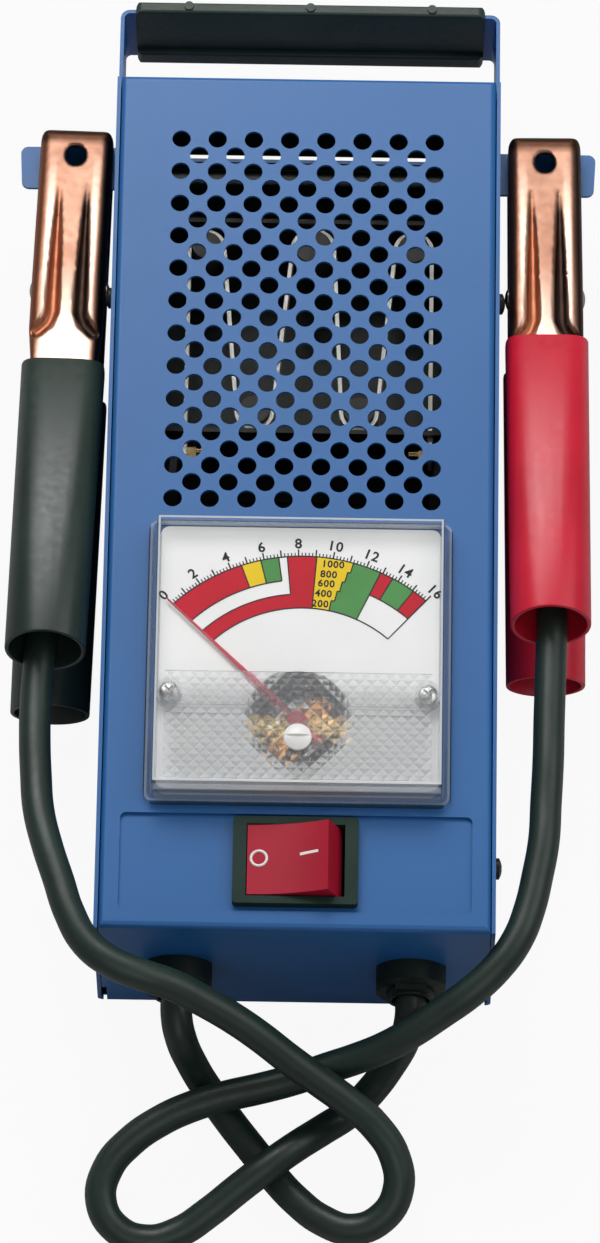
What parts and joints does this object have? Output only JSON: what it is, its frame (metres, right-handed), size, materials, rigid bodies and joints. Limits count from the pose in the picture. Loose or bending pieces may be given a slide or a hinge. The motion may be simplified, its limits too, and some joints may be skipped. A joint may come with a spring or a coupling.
{
  "type": "battery load tester",
  "caption": "Blue folded-steel battery load tester with a strap handle, perforated front, moving-coil meter, rocker switch and two leads with spring clamps parked on side ears.",
  "frame": {"origin": "centre of the back plate's outer face", "axes": "+X to the right seen from the front, +Y to the strap handle, +Z out of the front panel"},
  "size_m": [0.1508, 0.3335, 0.0651],
  "materials": {
    "case_blue": "satin",
    "black_plastic": "satin",
    "clear_cover": "clear",
    "white_plastic": "satin",
    "dial_white": "satin",
    "pointer_red": "satin",
    "magnet_steel": "satin",
    "core_steel": "satin",
    "brass": "satin",
    "coil_copper": "gloss",
    "black_steel": "satin",
    "zinc_steel": "satin",
    "rocker_red": "gloss",
    "ribbon_alloy": "satin",
    "dark_ceramic": "gloss",
    "wire_black": "satin",
    "lead_black": "satin",
    "copper_plate": "satin",
    "sleeve_black": "satin",
    "sleeve_red": "satin",
    "spring_steel": "satin"
  },
  "bodies": {
    "case": {"front_cover": "case_blue", "rear_shell": "case_blue", "handle_grip": "black_plastic", "case_screws": "black_steel", "left_gland": "black_plastic", "right_gland": "black_plastic", "meter_base": "white_plastic", "meter_cover": "clear_cover", "meter_screws": "zinc_steel", "dial_plate": "dial_white", "magnet_ring": "magnet_steel", "meter_core": "core_steel", "meter_bridge": "brass", "hairspring": "brass", "meter_terminals": "brass", "switch_body": "black_plastic", "switch_terminals": "brass", "load_ribbon": "ribbon_alloy", "ribbon_insulators": "dark_ceramic", "ribbon_brackets": "black_steel", "ribbon_terminals": "brass", "inner_wires": "wire_black", "left_upper_jaw": "copper_plate", "left_upper_sleeve": "sleeve_black", "left_pivot_pin": "zinc_steel", "left_spring": "spring_steel", "left_cable_lug": "copper_plate", "left_lead": "lead_black", "right_upper_jaw": "copper_plate", "right_upper_sleeve": "sleeve_red", "right_pivot_pin": "zinc_steel", "right_spring": "spring_steel", "right_cable_lug": "copper_plate", "right_lead": "lead_black"},
    "pointer": {"pointer": "pointer_red", "moving_coil": "coil_copper"},
    "zero_adjuster": {"zero_adjuster": "white_plastic"},
    "rocker": {"switch_rocker": "rocker_red"},
    "left_lower_arm": {"left_lower_jaw": "copper_plate", "left_lower_sleeve": "sleeve_black"},
    "right_lower_arm": {"right_lower_jaw": "copper_plate", "right_lower_sleeve": "sleeve_red"}
  },
  "joints": [
    {"name": "rocker_hinge", "type": "hinge", "parent": "case", "child": "rocker", "pos_m": [0, -0.1009, 0.0487], "axis": [0, 1, 0], "range_deg": [0, 26]},
    {"name": "pointer_hinge", "type": "hinge", "parent": "case", "child": "pointer", "pos_m": [0, -0.0651, 0.0588], "axis": [0, 0, -1], "range_deg": [0, 92], "stiffness_Nm_per_rad": 0.0001},
    {"name": "adjuster_hinge", "type": "hinge", "parent": "case", "child": "zero_adjuster", "pos_m": [0, -0.0715, 0.0634], "axis": [0, 0, 1], "range_deg": [-90, 90]},
    {"name": "left_clamp_hinge", "type": "hinge", "parent": "case", "child": "left_lower_arm", "pos_m": [-0.0615, 0.0655, 0.032], "axis": [-0.9997, 0.0234, 0], "range_deg": [0, 11], "stiffness_Nm_per_rad": 1.2, "springref_deg": -57.3, "deforming": ["left_spring"]},
    {"name": "right_clamp_hinge", "type": "hinge", "parent": "case", "child": "right_lower_arm", "pos_m": [0.0623, 0.0655, 0.032], "axis": [-0.9999, -0.0113, 0], "range_deg": [0, 10.5], "stiffness_Nm_per_rad": 1.2, "springref_deg": -57.3, "deforming": ["right_spring"]}
  ]
}
